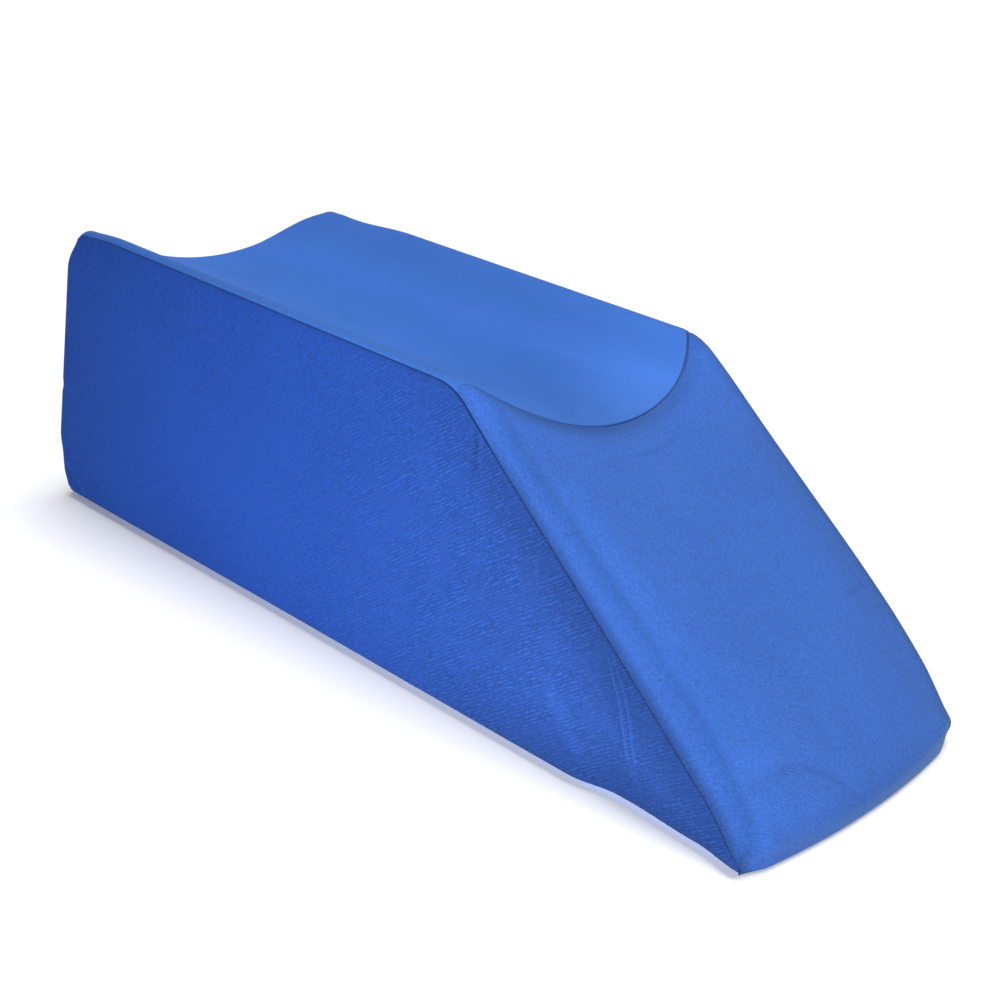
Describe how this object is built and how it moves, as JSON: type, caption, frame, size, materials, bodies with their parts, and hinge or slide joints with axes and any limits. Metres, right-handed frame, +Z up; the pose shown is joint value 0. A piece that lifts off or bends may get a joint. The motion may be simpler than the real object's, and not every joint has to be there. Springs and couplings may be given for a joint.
{
  "type": "leg elevation pillow",
  "caption": "Foam leg rest with a lengthwise calf trough and a front slope down to a thin toe, in a blue stretch cover that zips across the rear.",
  "frame": {"origin": "on the floor, midway along the whole length and on the middle plane of the width", "axes": "+X towards the thin toe at the foot of the slope, +Y to the left side, +Z up"},
  "size_m": [0.6136, 0.243, 0.199],
  "materials": {
    "cover_fabric": "satin",
    "core_foam": "matte",
    "zip_tape": "matte",
    "zip_coil": "satin",
    "tack_thread": "satin",
    "zip_metal": "satin"
  },
  "bodies": {
    "pillow": {"foam_core": "core_foam", "side_panel_right": "cover_fabric", "side_panel_left": "cover_fabric", "trough_panel": "cover_fabric", "incline_panel": "cover_fabric", "base_panel": "cover_fabric", "rear_panel_upper": "cover_fabric", "rear_panel_lower": "cover_fabric", "zip_tape_upper": "zip_tape", "zip_tape_lower": "zip_tape", "zip_coil_upper": "zip_coil", "zip_coil_lower": "zip_coil", "zip_bar_tacks": "tack_thread"},
    "slider": {"zip_slider": "zip_metal"},
    "pull": {"zip_pull": "zip_metal"}
  },
  "joints": [
    {"name": "zip_run", "type": "slide", "parent": "pillow", "child": "slider", "axis": [0, 1, 0], "range_m": [0, 0.203]},
    {"name": "pull_swing", "type": "hinge", "parent": "slider", "child": "pull", "pos_m": [-0.30488, -0.1015, 0.028], "axis": [0, 0, 1], "range_deg": [0, 180]}
  ]
}
